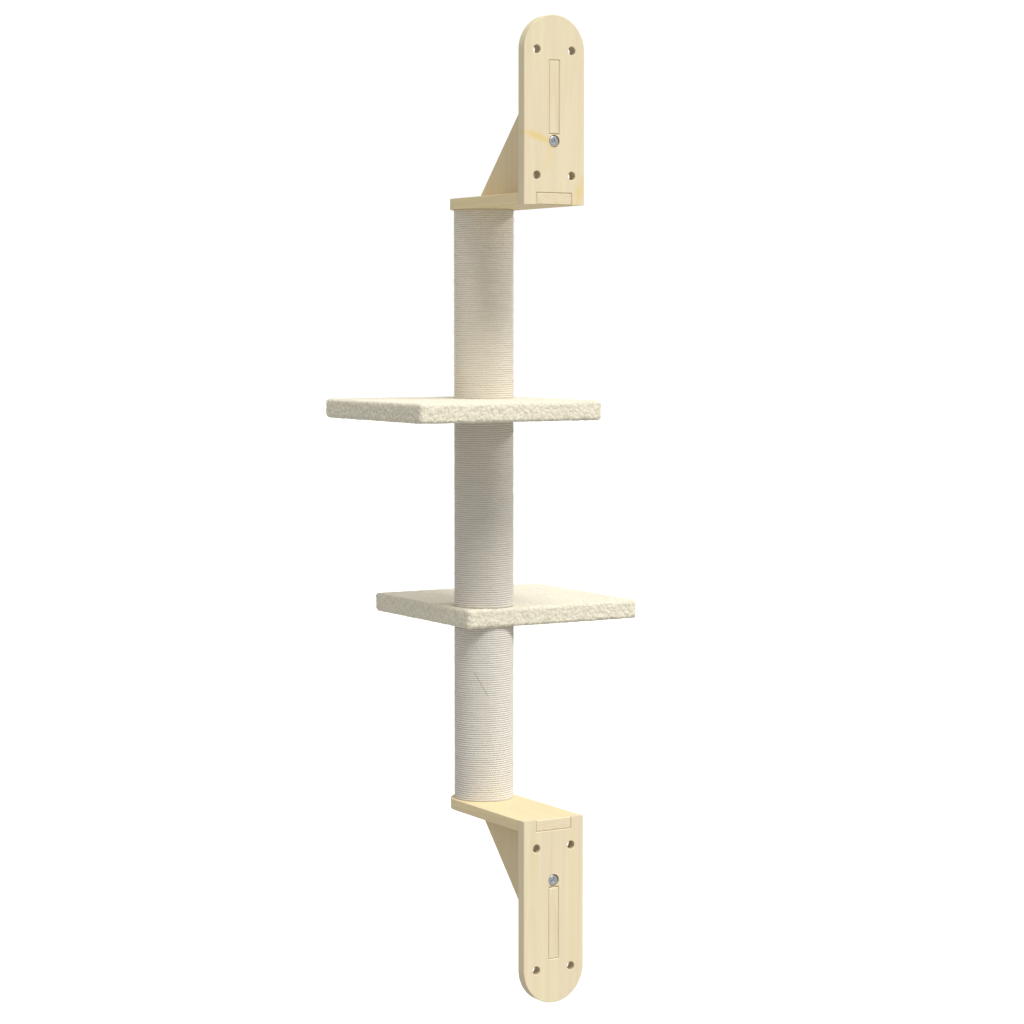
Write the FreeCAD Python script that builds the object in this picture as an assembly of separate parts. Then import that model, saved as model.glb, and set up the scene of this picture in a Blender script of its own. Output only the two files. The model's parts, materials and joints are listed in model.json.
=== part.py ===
import FreeCAD, Part
import math
import os

# Wall mounted cat tree. Two pine brackets hold a column of three cord-wrapped scratching posts
# between them, and two square plush-covered platforms are clamped between the posts.
#
# Frame: +Z up, X along the wall, the wall is the plane Y = 0 and the tree stands on its -Y side.
# The origin is the centre of the upper wall plate's four screw holes, on the wall.
# All sizes are in millimetres.

# ---------------------------------------------------------------- brackets
BOARD = 15.0                 # thickness of the bracket boards
BRACKET_WIDTH = 92.0         # width of plate and arm, and of their round ends
POST_TO_WALL = 185.0         # post axis from the wall
PLATE_LENGTH = 246.0         # from the arm's post side to the plate's round tip
EDGE_EASE = 1.0              # sanded edges of the boards
MOUTH_EASE = 0.9             # bevelled edges of tenons, slot and notch

WALL_HOLE = 11.0             # diameter of the four wall screw holes
WALL_HOLE_ACROSS = 53.0      # hole spacing along X
WALL_HOLE_ALONG = 162.5      # hole spacing along Z
WALL_HOLE_FIRST = 37.7       # first pair of holes from the arm's post side
HOLE_EASE_WIDE = 0.8         # sanded hole mouth, across
HOLE_EASE_DEEP = 0.45        # sanded hole mouth, in depth

ARM_TENON_WIDTH = 53.0
JOINT_GAP = 0.3              # play of a tenon in its slot, on each side
TENON_SHORT = 0.2            # tenon ends stop this far inside the wall face

GUSSET_BOARD = 15.0          # thickness of the gusset
GUSSET_RISE = 175.0          # height on the plate; the slope runs from there to the post axis
GUSSET_TOE = 4.0             # the toe is cut off this far from the post axis
GUSSET_TENON_FROM = 92.0     # start of the tenon, from the arm's post side
GUSSET_TENON_LENGTH = 95.0
SLOT_END_EASE = 1.8          # wider bevel of the slot's end beside the screw

SCREW_UP = 82.4              # gusset screw, from the arm's post side
SCREW_DIAMETER = 6.0
SCREW_LENGTH = 55.0          # under the head
SCREW_POINT = 1.0            # blunt end of the point
SCREW_HEAD = 14.0
SCREW_HEAD_HIGH = 3.6
SCREW_SUNK = 0.8             # head below the wall face
SCREW_RECESS_WIDE = 2.0      # cross recess, across one arm
SCREW_RECESS_LONG = 7.6
SCREW_RECESS_DEEP = 2.2
HEAD_PLAY = 1.2              # counterbore round the head, on each side
HOLE_PLAY = 0.3              # hole round a screw, bolt, stud or dowel, on each side

DOWEL = 8.0
DOWEL_IN_ARM = 10.0          # depth in the arm
DOWEL_IN_GUSSET = 14.0       # depth in the gusset
DOWELS_FROM_PLATE = (40.0, 95.0)
DOWEL_END_PLAY = 0.5         # between a dowel's end and its hole's end
ROD_EASE = 1.0               # bevelled ends of dowels, bolts and studs

BOLT = 8.0                   # arm bolt and platform stud, thread diameter
BOLT_HEAD = 16.0             # countersunk head
BOLT_SOCKET = 5.0            # hexagon key size
BOLT_SOCKET_DEEP = 3.5
BOLT_INTO_PLUG = 19.0        # thread beyond the face that it enters by
HEAD_SUNK = 0.3              # countersunk head below the arm's outer face

# ---------------------------------------------------------------- posts
TOP_POST = 257.0
MIDDLE_POST = 260.0
BOTTOM_POST = 240.0
CORE_DIAMETER = 76.4         # cardboard tube
CORE_WALL = 4.0
CORD = 2.5                   # thickness of the wound cord
CORD_PITCH = 2.95            # from one turn to the next
CORD_SEAT = 0.3              # between the tube and the cord
CORD_TURNS = 24              # turns modelled one by one at the lower end of each post
CORD_START = 215.0           # where the first turn begins, degrees round the post from +X
TURN_CLEAR = 0.4             # above and below the modelled turns
PLUG_THICK = 20.0            # end plugs of the tube
PLUG_PLAY = 0.3              # between plug and tube
INSERT_DIAMETER = 12.0       # threaded insert in the plug
INSERT_LONG = 18.0
INSERT_PLAY = 0.2            # round the insert and round the thread in it

# ---------------------------------------------------------------- platforms
PLATFORM_SIDE = 270.0        # square, over the plush
PLATFORM_BOARD = 15.0        # thickness of the board inside
BOARD_CORNER = 2.5           # corner radius of the board inside
PLUSH = 5.25                 # plush on the top, the sides and the underside
PLUSH_ROUND = 4.0            # rounding of the plush edges
HEM = 14.0                   # plush turned under the board, from the side inwards
SEAM_PLAY = 0.3              # between the turned hem and the base panel
CENTRE_HOLE_PLAY = 2.0       # hole in the plush round the stud, on each side
UPPER_LEFT = 73.0            # upper platform: post axis to its edge at -X
UPPER_WALL = 180.0           # upper platform: post axis to its edge at the wall
LOWER_LEFT = 220.0           # lower platform: post axis to its edge at -X
LOWER_WALL = 44.0            # lower platform: post axis to its edge at the wall

# ---------------------------------------------------------------- worked out from the above
END_RADIUS = BRACKET_WIDTH / 2
ROPE_DIAMETER = CORE_DIAMETER + 2 * (CORD_SEAT + CORD)
PLATFORM_THICK = PLATFORM_BOARD + 2 * PLUSH
UPPER_ARM_FACE = -(WALL_HOLE_FIRST + WALL_HOLE_ALONG / 2)
UPPER_PLATFORM_TOP = UPPER_ARM_FACE - TOP_POST
LOWER_PLATFORM_TOP = UPPER_PLATFORM_TOP - PLATFORM_THICK - MIDDLE_POST
LOWER_ARM_FACE = LOWER_PLATFORM_TOP - PLATFORM_THICK - BOTTOM_POST

SAME_PLANE = 1e-4            # an edge this near to a plane lies in it
POINTS_PER_ARC = 7           # measured along each arc of the cord

X_AXIS = FreeCAD.Vector(1, 0, 0)
Y_AXIS = FreeCAD.Vector(0, 1, 0)
Z_AXIS = FreeCAD.Vector(0, 0, 1)


# ---------------------------------------------------------------- small helpers
def point(x, y, z):
    return FreeCAD.Vector(x, y, z)


def block(x0, x1, y0, y1, z0, z1):
    """A box between two corners."""
    return Part.makeBox(x1 - x0, y1 - y0, z1 - z0, point(x0, y0, z0))


def rod(diameter, start, end):
    """A round bar from one point to another."""
    way = end - start
    return Part.makeCylinder(diameter / 2, way.Length, start, way)


def ring(outer, inner, start, end):
    """A round tube from one point to another."""
    return rod(outer, start, end).cut(rod(inner, start, end))


def cone(diameter_start, diameter_end, start, end):
    """A cone frustum from one point to another."""
    way = end - start
    return Part.makeCone(diameter_start / 2, diameter_end / 2, way.Length, start, way)


def prism(corners, direction):
    """A straight-sided solid over a closed outline of corner points."""
    return Part.Face(Part.makePolygon(corners + corners[:1])).extrude(direction)


def on_plane(edge, axis, value):
    """Whether an edge lies in the plane axis = value."""
    box = edge.BoundBox
    low, high = (getattr(box, axis + "Min"), getattr(box, axis + "Max"))
    return abs(low - value) < SAME_PLANE and abs(high - value) < SAME_PLANE


def round_edges(solid):
    """The full circles among a solid's edges."""
    return [edge for edge in solid.Edges if len(edge.Vertexes) == 1]


def eased(solid, size, wanted):
    """The solid with every wanted edge rounded over."""
    return solid.makeFillet(size, [edge for edge in solid.Edges if wanted(edge)])


def through_cut(half_width, low, high, foot_ease):
    """Rectangular cut through the plate; its mouth in the wall face is bevelled."""
    cut = block(-half_width, half_width, -2 * BOARD, BOARD, low, high)
    sides = [
        point(-half_width, -MOUTH_EASE, 0),
        point(half_width, -MOUTH_EASE, 0),
        point(half_width + MOUTH_EASE, 0, 0),
        point(-half_width - MOUTH_EASE, 0, 0),
    ]
    side_bevels = prism(sides, Z_AXIS * (high - low))
    side_bevels.translate(Z_AXIS * low)
    ends = [
        point(-half_width, -foot_ease, low),
        point(-half_width, 0, low - foot_ease),
        point(-half_width, 0, high + MOUTH_EASE),
        point(-half_width, -MOUTH_EASE, high),
    ]
    end_bevels = prism(ends, X_AXIS * 2 * half_width)
    return cut.fuse([side_bevels, end_bevels])


def save(name, shape):
    """Write one node as parts/NAME.step and print what it holds."""
    print(f"{name}: {len(shape.Solids)} solid(s), {shape.Volume / 1000:.2f} cm3, valid {shape.isValid()}")
    shape.exportStep(os.path.join("parts", name + ".step"))


# ---------------------------------------------------------------- bracket pieces
# Each is made for the upper bracket, with its height z counted from the arm's post side.
def plate_outline(y):
    """Face of the wall plate: square below, round above, in the plane at y."""
    half = END_RADIUS
    shoulder = PLATE_LENGTH - half
    foot_left = point(-half, y, 0)
    foot_right = point(half, y, 0)
    side_right = point(half, y, shoulder)
    side_left = point(-half, y, shoulder)
    tip = point(0, y, PLATE_LENGTH)
    edges = [
        Part.makeLine(foot_left, foot_right),
        Part.makeLine(foot_right, side_right),
        Part.Arc(side_right, tip, side_left).toShape(),
        Part.makeLine(side_left, foot_left),
    ]
    return Part.Face(Part.Wire(edges))


def wall_plate():
    """Plate that is screwed to the wall, with its slot, notch and holes."""
    plate = plate_outline(-BOARD).extrude(Y_AXIS * BOARD)
    plate = eased(
        plate,
        EDGE_EASE,
        lambda e: (on_plane(e, "Y", -BOARD) or on_plane(e, "Y", 0)) and not on_plane(e, "Z", 0),
    )
    half_notch = ARM_TENON_WIDTH / 2 + JOINT_GAP
    notch_top = BOARD + JOINT_GAP
    plate = plate.cut(through_cut(half_notch, -BOARD, notch_top, MOUTH_EASE))
    half_slot = GUSSET_BOARD / 2 + JOINT_GAP
    slot_low = GUSSET_TENON_FROM - JOINT_GAP
    slot_high = GUSSET_TENON_FROM + GUSSET_TENON_LENGTH + JOINT_GAP
    plate = plate.cut(through_cut(half_slot, slot_low, slot_high, SLOT_END_EASE))
    for across in (-1, 1):
        for along in (0, 1):
            x = across * WALL_HOLE_ACROSS / 2
            z = WALL_HOLE_FIRST + along * WALL_HOLE_ALONG
            plate = plate.cut(wall_hole(x, z))
    return plate.cut(screw_hole())


def wall_hole(x, z):
    """A hole through the plate with both mouths sanded."""
    bore = rod(WALL_HOLE, point(x, -BOARD, z), point(x, 0, z))
    wide = WALL_HOLE + 2 * HOLE_EASE_WIDE
    wall_mouth = cone(WALL_HOLE, wide, point(x, -HOLE_EASE_DEEP, z), point(x, 0, z))
    room_mouth = cone(wide, WALL_HOLE, point(x, -BOARD, z), point(x, HOLE_EASE_DEEP - BOARD, z))
    return bore.fuse([wall_mouth, room_mouth])


def screw_hole():
    """Stepped hole for the gusset screw: a counterbore for the head, then the shank's hole."""
    z = SCREW_UP
    floor = -(SCREW_SUNK + SCREW_HEAD_HIGH)
    head = rod(SCREW_HEAD + 2 * HEAD_PLAY, point(0, floor, z), point(0, 0, z))
    shank = rod(SCREW_DIAMETER + 2 * HOLE_PLAY, point(0, -BOARD, z), point(0, 0, z))
    return head.fuse(shank)


def arm():
    """Arm that carries the post: a board with a round end and a tenon in the plate's notch."""
    half = END_RADIUS
    wall_side = -BOARD
    back_left = point(-half, wall_side, 0)
    back_right = point(half, wall_side, 0)
    front_right = point(half, -POST_TO_WALL, 0)
    front_left = point(-half, -POST_TO_WALL, 0)
    tip = point(0, -POST_TO_WALL - half, 0)
    edges = [
        Part.makeLine(back_left, back_right),
        Part.makeLine(back_right, front_right),
        Part.Arc(front_right, tip, front_left).toShape(),
        Part.makeLine(front_left, back_left),
    ]
    board = Part.Face(Part.Wire(edges)).extrude(Z_AXIS * BOARD)
    board = eased(
        board,
        EDGE_EASE,
        lambda e: (on_plane(e, "Z", 0) or on_plane(e, "Z", BOARD)) and not on_plane(e, "Y", wall_side),
    )
    tenon = tenon_block(ARM_TENON_WIDTH / 2, 0, BOARD)
    board = board.fuse(tenon).removeSplitter()
    board = board.cut(bolt_hole())
    for y in dowel_places():
        board = board.cut(dowel_hole(y, BOARD - DOWEL_IN_ARM, BOARD))
    return board


def tenon_block(half_width, low, high):
    """A tenon from the plate's room side to just inside the wall face, its end edges eased."""
    end = -TENON_SHORT
    solid = block(-half_width, half_width, -BOARD, end, low, high)
    edges = [edge for edge in solid.Edges if on_plane(edge, "Y", end)]
    return solid.makeChamfer(MOUTH_EASE, edges)


def bolt_hole():
    """Countersunk hole in the arm on the post axis."""
    y = -POST_TO_WALL
    shank = BOLT + 2 * HOLE_PLAY
    mouth = BOLT_HEAD + 2 * HOLE_PLAY
    top = BOARD
    throat = top - HEAD_SUNK - (mouth - shank) / 2
    bore = rod(shank, point(0, y, 0), point(0, y, top))
    sink = cone(shank, mouth, point(0, y, throat), point(0, y, top - HEAD_SUNK))
    lip = rod(mouth, point(0, y, top - HEAD_SUNK), point(0, y, top))
    return bore.fuse([sink, lip])


def arm_bolt():
    """Countersunk bolt with a hexagon socket, from the arm's outer face down into the post."""
    y = -POST_TO_WALL
    head_top = BOARD - HEAD_SUNK
    head_foot = head_top - (BOLT_HEAD - BOLT) / 2
    shank = rod(BOLT, point(0, y, -BOLT_INTO_PLUG), point(0, y, head_foot))
    shank = shank.makeChamfer(ROD_EASE, [e for e in shank.Edges if on_plane(e, "Z", -BOLT_INTO_PLUG)])
    head = cone(BOLT, BOLT_HEAD, point(0, y, head_foot), point(0, y, head_top))
    corner = BOLT_SOCKET / math.sqrt(3)
    corners = []
    for step in range(6):
        turn = math.radians(60 * step)
        x = corner * math.cos(turn)
        corners.append(point(x, y + corner * math.sin(turn), head_top - BOLT_SOCKET_DEEP))
    socket = prism(corners, Z_AXIS * BOLT_SOCKET_DEEP)
    return shank.fuse(head).removeSplitter().cut(socket)


def dowel_places():
    """Where the dowels stand along the arm."""
    return [-BOARD - distance for distance in DOWELS_FROM_PLATE]


def dowel_hole(y, low, high):
    """Blind or open hole for one dowel."""
    return rod(DOWEL + 2 * HOLE_PLAY, point(0, y, low), point(0, y, high))


def gusset_dowels():
    """The dowels that pin the gusset to the arm."""
    low = BOARD - DOWEL_IN_ARM + DOWEL_END_PLAY
    high = BOARD + DOWEL_IN_GUSSET - DOWEL_END_PLAY
    pegs = []
    for y in dowel_places():
        peg = rod(DOWEL, point(0, y, low), point(0, y, high))
        pegs.append(peg.makeChamfer(ROD_EASE, round_edges(peg)))
    return Part.makeCompound(pegs)


def gusset():
    """Triangular web between the arm and the plate, with a long tenon through the plate."""
    half = GUSSET_BOARD / 2
    foot = BOARD
    top = BOARD + GUSSET_RISE
    slope = GUSSET_RISE / (POST_TO_WALL - BOARD)
    toe = GUSSET_TOE - POST_TO_WALL
    corners = [
        point(-half, -BOARD, foot),
        point(-half, toe, foot),
        point(-half, toe, foot + GUSSET_TOE * slope),
        point(-half, -BOARD, top),
    ]
    web = prism(corners, X_AXIS * GUSSET_BOARD)
    web = eased(web, EDGE_EASE, is_sloping)
    tenon_high = GUSSET_TENON_FROM + GUSSET_TENON_LENGTH
    web = web.fuse(tenon_block(half, GUSSET_TENON_FROM, tenon_high)).removeSplitter()
    web = web.cut(pilot_hole())
    for y in dowel_places():
        web = web.cut(dowel_hole(y, BOARD, BOARD + DOWEL_IN_GUSSET))
    return web


def is_sloping(edge):
    """Whether an edge runs along the gusset's sloping side."""
    box = edge.BoundBox
    return box.YLength > GUSSET_TOE and box.ZLength > GUSSET_TOE


def pilot_hole():
    """Hole in the gusset's back edge for the screw."""
    end = screw_tip() - HOLE_PLAY
    return rod(SCREW_DIAMETER + 2 * HOLE_PLAY, point(0, end, SCREW_UP), point(0, -BOARD, SCREW_UP))


def screw_tip():
    """How far the gusset screw reaches from the wall."""
    return -(SCREW_SUNK + SCREW_HEAD_HIGH + SCREW_LENGTH)


def gusset_screw():
    """Pan head screw with a cross recess and a pointed end, through the plate into the gusset."""
    z = SCREW_UP
    head_out = -SCREW_SUNK
    head_in = head_out - SCREW_HEAD_HIGH
    head = rod(SCREW_HEAD, point(0, head_in, z), point(0, head_out, z))
    head = head.makeFillet(SCREW_HEAD_HIGH / 2, [e for e in head.Edges if on_plane(e, "Y", head_out)])
    point_start = screw_tip() + SCREW_DIAMETER
    shank = rod(SCREW_DIAMETER, point(0, point_start, z), point(0, head_in, z))
    tip = cone(SCREW_DIAMETER, SCREW_POINT, point(0, point_start, z), point(0, screw_tip(), z))
    screw = head.fuse([shank, tip]).removeSplitter()
    for turned in (0, 90):
        screw = screw.cut(recess_arm(z, head_out, turned))
    return screw


def recess_arm(z, face, turned):
    """One arm of the cross recess, narrowing with depth."""
    half_wide = SCREW_RECESS_WIDE / 2
    half_long = SCREW_RECESS_LONG / 2
    deep = face - SCREW_RECESS_DEEP
    corners = [
        point(-half_long, face, z - half_wide),
        point(half_long, face, z - half_wide),
        point(half_wide, deep, z - half_wide),
        point(-half_wide, deep, z - half_wide),
    ]
    cut = prism(corners, Z_AXIS * SCREW_RECESS_WIDE)
    return cut.rotate(point(0, face, z), Y_AXIS, turned)


def bracket_pieces():
    """All pieces of one bracket by name, in the bracket's own height."""
    return {
        "wall_plate": wall_plate(),
        "arm": arm(),
        "gusset": gusset(),
        "gusset_screw": gusset_screw(),
        "gusset_dowels": gusset_dowels(),
        "arm_bolt": arm_bolt(),
    }


def save_brackets():
    """The upper bracket stands on its arm; the lower one is the same, turned half round about Y."""
    for name, shape in bracket_pieces().items():
        upper = shape.copy()
        upper.translate(Z_AXIS * UPPER_ARM_FACE)
        save("upper_" + name, upper)
        lower = shape.copy()
        lower.rotate(point(0, 0, 0), Y_AXIS, 180)
        lower.translate(Z_AXIS * LOWER_ARM_FACE)
        save("lower_" + name, lower)


# ---------------------------------------------------------------- posts
def on_post(z):
    """The point of the post axis at height z."""
    return point(0, -POST_TO_WALL, z)


def core_tube(low, high):
    """Cardboard tube of a post, open at both ends."""
    return ring(CORE_DIAMETER, CORE_DIAMETER - 2 * CORE_WALL, on_post(low), on_post(high))


def end_plug(face, inward):
    """Wooden plug in a tube's end: face is its outer height, inward is +1 or -1 along Z."""
    back = face + inward * PLUG_THICK
    seat = face + inward * INSERT_LONG
    plug = rod(CORE_DIAMETER - 2 * CORE_WALL - 2 * PLUG_PLAY, on_post(face), on_post(back))
    plug = plug.cut(rod(INSERT_DIAMETER + 2 * INSERT_PLAY, on_post(face), on_post(seat)))
    return plug.cut(rod(BOLT + 2 * INSERT_PLAY, on_post(face), on_post(back)))


def insert(face, inward):
    """Threaded insert, flush with the plug's outer face."""
    seat = face + inward * INSERT_LONG
    return ring(INSERT_DIAMETER, BOLT + 2 * INSERT_PLAY, on_post(face), on_post(seat))


def turns_height():
    """Height that the modelled turns take up at a post's lower end."""
    return CORD_TURNS * CORD_PITCH + CORD + 2 * TURN_CLEAR


def plain_winding(low, high):
    """The rest of the winding, as a sleeve of the same inner and outer size as the turns."""
    bore = CORE_DIAMETER + 2 * CORD_SEAT
    return ring(ROPE_DIAMETER, bore, on_post(low + turns_height()), on_post(high))


def helix_point(low, turns):
    """Centre of the cord after a number of turns."""
    angle = math.radians(CORD_START) + 2 * math.pi * turns
    radius = (ROPE_DIAMETER - CORD) / 2
    height = low + TURN_CLEAR + CORD / 2 + CORD_PITCH * turns
    return on_post(height) + point(radius * math.cos(angle), radius * math.sin(angle), 0)


def helix_heading(turns):
    """Unit direction of the cord after a number of turns."""
    angle = math.radians(CORD_START) + 2 * math.pi * turns
    radius = (ROPE_DIAMETER - CORD) / 2
    rise = CORD_PITCH / (2 * math.pi)
    return point(-radius * math.sin(angle), radius * math.cos(angle), rise).normalize()


def arc_from(start, heading, corner, end):
    """Arc from start to end whose two end tangents cross at corner."""
    chord_middle = (start + end) * 0.5
    half_turn = heading.getAngle(end - start)
    height = start.distanceToPoint(chord_middle) * math.tan(half_turn / 2)
    middle = chord_middle + (corner - chord_middle).normalize() * height
    return Part.Arc(start, middle, end)


def biarc(start, heading, end, end_heading):
    """Two arcs that leave start along heading and reach end along end_heading."""
    span = end - start
    spread = 2 * (1 - heading.dot(end_heading))
    lean = span.dot(heading + end_heading)
    reach = (math.sqrt(lean * lean + spread * span.dot(span)) - lean) / spread
    first_corner = start + heading * reach
    last_corner = end - end_heading * reach
    joint = (first_corner + last_corner) * 0.5
    across = (last_corner - first_corner).normalize()
    return [
        arc_from(start, heading, first_corner, joint),
        arc_from(joint, across, last_corner, end),
    ]


def cord_line(low):
    """The cord's centre line: a straight lead in, quarter turn biarcs, and a straight lead out."""
    first = helix_point(low, 0)
    last = helix_point(low, CORD_TURNS)
    curves = [Part.LineSegment(first - helix_heading(0) * CORD, first)]
    for quarter in range(4 * CORD_TURNS):
        here = quarter / 4
        there = (quarter + 1) / 4
        curves += biarc(
            helix_point(low, here),
            helix_heading(here),
            helix_point(low, there),
            helix_heading(there),
        )
    curves.append(Part.LineSegment(last, last + helix_heading(CORD_TURNS) * CORD))
    return curves


def least_gap(curves):
    """Least gap of the cord to its own next turns, measured on points of its centre line."""
    points = []
    for curve in curves:
        points += curve.toShape().discretize(POINTS_PER_ARC + 1)[:-1]
    per_turn = (len(points) - 2) // CORD_TURNS
    nearest = min(
        points[i].distanceToPoint(points[j])
        for i in range(len(points))
        for j in range(i + per_turn // 2, min(i + 3 * per_turn // 2, len(points)))
    )
    return nearest - CORD


def cord_turns(low):
    """The modelled turns of the winding as one unbroken round cord."""
    curves = cord_line(low)
    print(f"cord turns from {low:.1f}: least gap to itself {least_gap(curves):.3f} mm")
    path = Part.Wire([curve.toShape() for curve in curves])
    start = curves[0].StartPoint
    section = Part.Circle(start, helix_heading(0), CORD / 2).toShape()
    pipe = Part.BRepOffsetAPI.MakePipeShell(path)
    pipe.add(Part.Wire([section]))
    pipe.build()
    pipe.makeSolid()
    return pipe.shape()


def save_post(name, low, high):
    """One scratching post: tube, plugs, inserts and winding."""
    save(name + "_core_tube", core_tube(low, high))
    save(name + "_upper_plug", end_plug(high, -1))
    save(name + "_lower_plug", end_plug(low, 1))
    save(name + "_inserts", Part.makeCompound([insert(high, -1), insert(low, 1)]))
    save(name + "_winding", plain_winding(low, high))
    save(name + "_cord_turns", cord_turns(low))


# ---------------------------------------------------------------- platforms
def rounded_square(left, wall_side, low, high, inset, corner):
    """An upright block inset from the platform's outline, with round corners."""
    x0 = left + inset
    x1 = left + PLATFORM_SIDE - inset
    y1 = wall_side - inset
    y0 = wall_side - PLATFORM_SIDE + inset
    solid = block(x0, x1, y0, y1, low, high)
    upright = [edge for edge in solid.Edges if edge.BoundBox.ZLength > (high - low) / 2]
    return solid.makeFillet(corner, upright)


def stud_hole(diameter, low, high):
    """Round hole on the post axis."""
    return rod(diameter, on_post(low), on_post(high))


def platform_board(left, wall_side, top):
    """Flat board inside the plush."""
    high = top - PLUSH
    low = high - PLATFORM_BOARD
    board = rounded_square(left, wall_side, low, high, PLUSH, BOARD_CORNER)
    return board.cut(stud_hole(BOLT + 2 * HOLE_PLAY, low, high))


def plush_cover(left, wall_side, top):
    """Plush over the top and the sides, turned under the board as a hem."""
    low = top - PLATFORM_THICK
    cover = rounded_square(left, wall_side, low, top, 0, PLUSH_ROUND)
    cover = eased(cover, PLUSH_ROUND, lambda e: on_plane(e, "Z", top) or on_plane(e, "Z", low))
    cavity = rounded_square(left, wall_side, low + PLUSH, top - PLUSH, PLUSH, BOARD_CORNER)
    opening = rounded_square(left, wall_side, low, low + PLUSH, HEM, PLUSH_ROUND)
    cover = cover.cut(cavity.fuse(opening))
    return cover.cut(stud_hole(BOLT + 2 * CENTRE_HOLE_PLAY, low, top))


def base_panel(left, wall_side, top):
    """Plush panel that closes the underside inside the hem."""
    low = top - PLATFORM_THICK
    panel = rounded_square(left, wall_side, low, low + PLUSH, HEM + SEAM_PLAY, PLUSH_ROUND)
    return panel.cut(stud_hole(BOLT + 2 * CENTRE_HOLE_PLAY, low, low + PLUSH))


def platform_stud(top):
    """Double-ended stud that clamps a platform between two posts."""
    high = top + BOLT_INTO_PLUG
    low = top - PLATFORM_THICK - BOLT_INTO_PLUG
    stud = rod(BOLT, on_post(low), on_post(high))
    return stud.makeChamfer(ROD_EASE, round_edges(stud))


def save_platform(name, to_left, to_wall, top):
    """One platform round the post axis, given by two edge distances from that axis."""
    left = -to_left
    wall_side = to_wall - POST_TO_WALL
    save(name + "_board", platform_board(left, wall_side, top))
    save(name + "_plush_cover", plush_cover(left, wall_side, top))
    save(name + "_base_panel", base_panel(left, wall_side, top))
    save(name + "_stud", platform_stud(top))


os.makedirs("parts", exist_ok=True)
save_brackets()
save_post("top_post", UPPER_PLATFORM_TOP, UPPER_ARM_FACE)
save_post("middle_post", LOWER_PLATFORM_TOP, UPPER_PLATFORM_TOP - PLATFORM_THICK)
save_post("bottom_post", LOWER_ARM_FACE, LOWER_PLATFORM_TOP - PLATFORM_THICK)
save_platform("upper_platform", UPPER_LEFT, UPPER_WALL, UPPER_PLATFORM_TOP)
save_platform("lower_platform", LOWER_LEFT, LOWER_WALL, LOWER_PLATFORM_TOP)
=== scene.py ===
import json
import math
import random

import bmesh
import bpy
from mathutils import Matrix, Vector, noise


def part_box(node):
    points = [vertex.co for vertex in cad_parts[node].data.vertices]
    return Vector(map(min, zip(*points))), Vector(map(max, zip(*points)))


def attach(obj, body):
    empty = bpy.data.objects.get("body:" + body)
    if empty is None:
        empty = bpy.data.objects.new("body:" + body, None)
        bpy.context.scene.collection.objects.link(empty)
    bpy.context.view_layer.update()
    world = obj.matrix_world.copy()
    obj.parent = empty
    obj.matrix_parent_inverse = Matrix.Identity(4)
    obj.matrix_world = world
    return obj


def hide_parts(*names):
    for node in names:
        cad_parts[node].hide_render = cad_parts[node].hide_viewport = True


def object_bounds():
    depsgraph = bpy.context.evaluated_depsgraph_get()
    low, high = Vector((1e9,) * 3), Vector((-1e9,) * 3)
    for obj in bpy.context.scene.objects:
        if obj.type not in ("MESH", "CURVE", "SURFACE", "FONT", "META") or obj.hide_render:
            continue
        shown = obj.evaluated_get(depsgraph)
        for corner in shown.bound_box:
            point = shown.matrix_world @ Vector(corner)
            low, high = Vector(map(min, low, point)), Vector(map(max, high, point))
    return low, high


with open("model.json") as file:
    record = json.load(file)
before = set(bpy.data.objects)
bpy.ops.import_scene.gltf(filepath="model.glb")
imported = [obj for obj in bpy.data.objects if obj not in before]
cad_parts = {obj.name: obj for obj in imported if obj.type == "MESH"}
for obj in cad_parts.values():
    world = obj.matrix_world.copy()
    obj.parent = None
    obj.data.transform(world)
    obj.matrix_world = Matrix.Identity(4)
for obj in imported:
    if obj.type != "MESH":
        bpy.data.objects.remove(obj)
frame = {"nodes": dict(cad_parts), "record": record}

bl_info = {
    "name": "Wall Mounted Cat Tree",
    "version": (1, 0, 0),
    "blender": (4, 5, 0),
    "location": "3D View > Sidebar > Cat Tree",
    "description": "Pine brackets, wound posts and plush platforms of a wall mounted cat tree",
    "category": "Object",
}

# ------------------------ places taken from the frame
# The wall is the plane Y = 0, the tree stands on its -Y side, +Z is up, and all sizes are metres.
CAD_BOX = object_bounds()
BODY = "root"
POSTS = ("top_post", "middle_post", "bottom_post")
PLATFORMS = ("upper_platform", "lower_platform")
BRACKETS = ("upper", "lower")
MM = 0.001


def node_box(node):
    """Lowest and highest corner of a CAD node."""
    low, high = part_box(node)
    return Vector(low), Vector(high)


TUBE_LOW, TUBE_HIGH = node_box("middle_post_core_tube")
POST_AXIS = (TUBE_LOW + TUBE_HIGH) / 2
WINDING_LOW, WINDING_HIGH = node_box("middle_post_winding")
WINDING_RADIUS = (WINDING_HIGH.x - WINDING_LOW.x) / 2
# The four screw holes of a plate, as they are named in the record's mounts.
HOLE_MOUNTS = {"upper": "upper_wall_bolts", "lower": "lower_wall_bolts"}
MOUNTS = {mount["name"]: mount for mount in frame["record"]["mounts"]}
HOLE_RADIUS = MOUNTS[HOLE_MOUNTS["upper"]]["dims"]["hole_r_mm"] * MM


def hole_places(bracket):
    """Centres of a plate's four screw holes."""
    mount = MOUNTS[HOLE_MOUNTS[bracket]]
    middle = Vector(mount["pos_m"])
    across = mount["dims"]["spacing_x_mm"] * MM / 2
    along = mount["dims"]["spacing_y_mm"] * MM / 2
    return [middle + Vector((x * across, 0, z * along)) for x in (-1, 1) for z in (-1, 1)]


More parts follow.
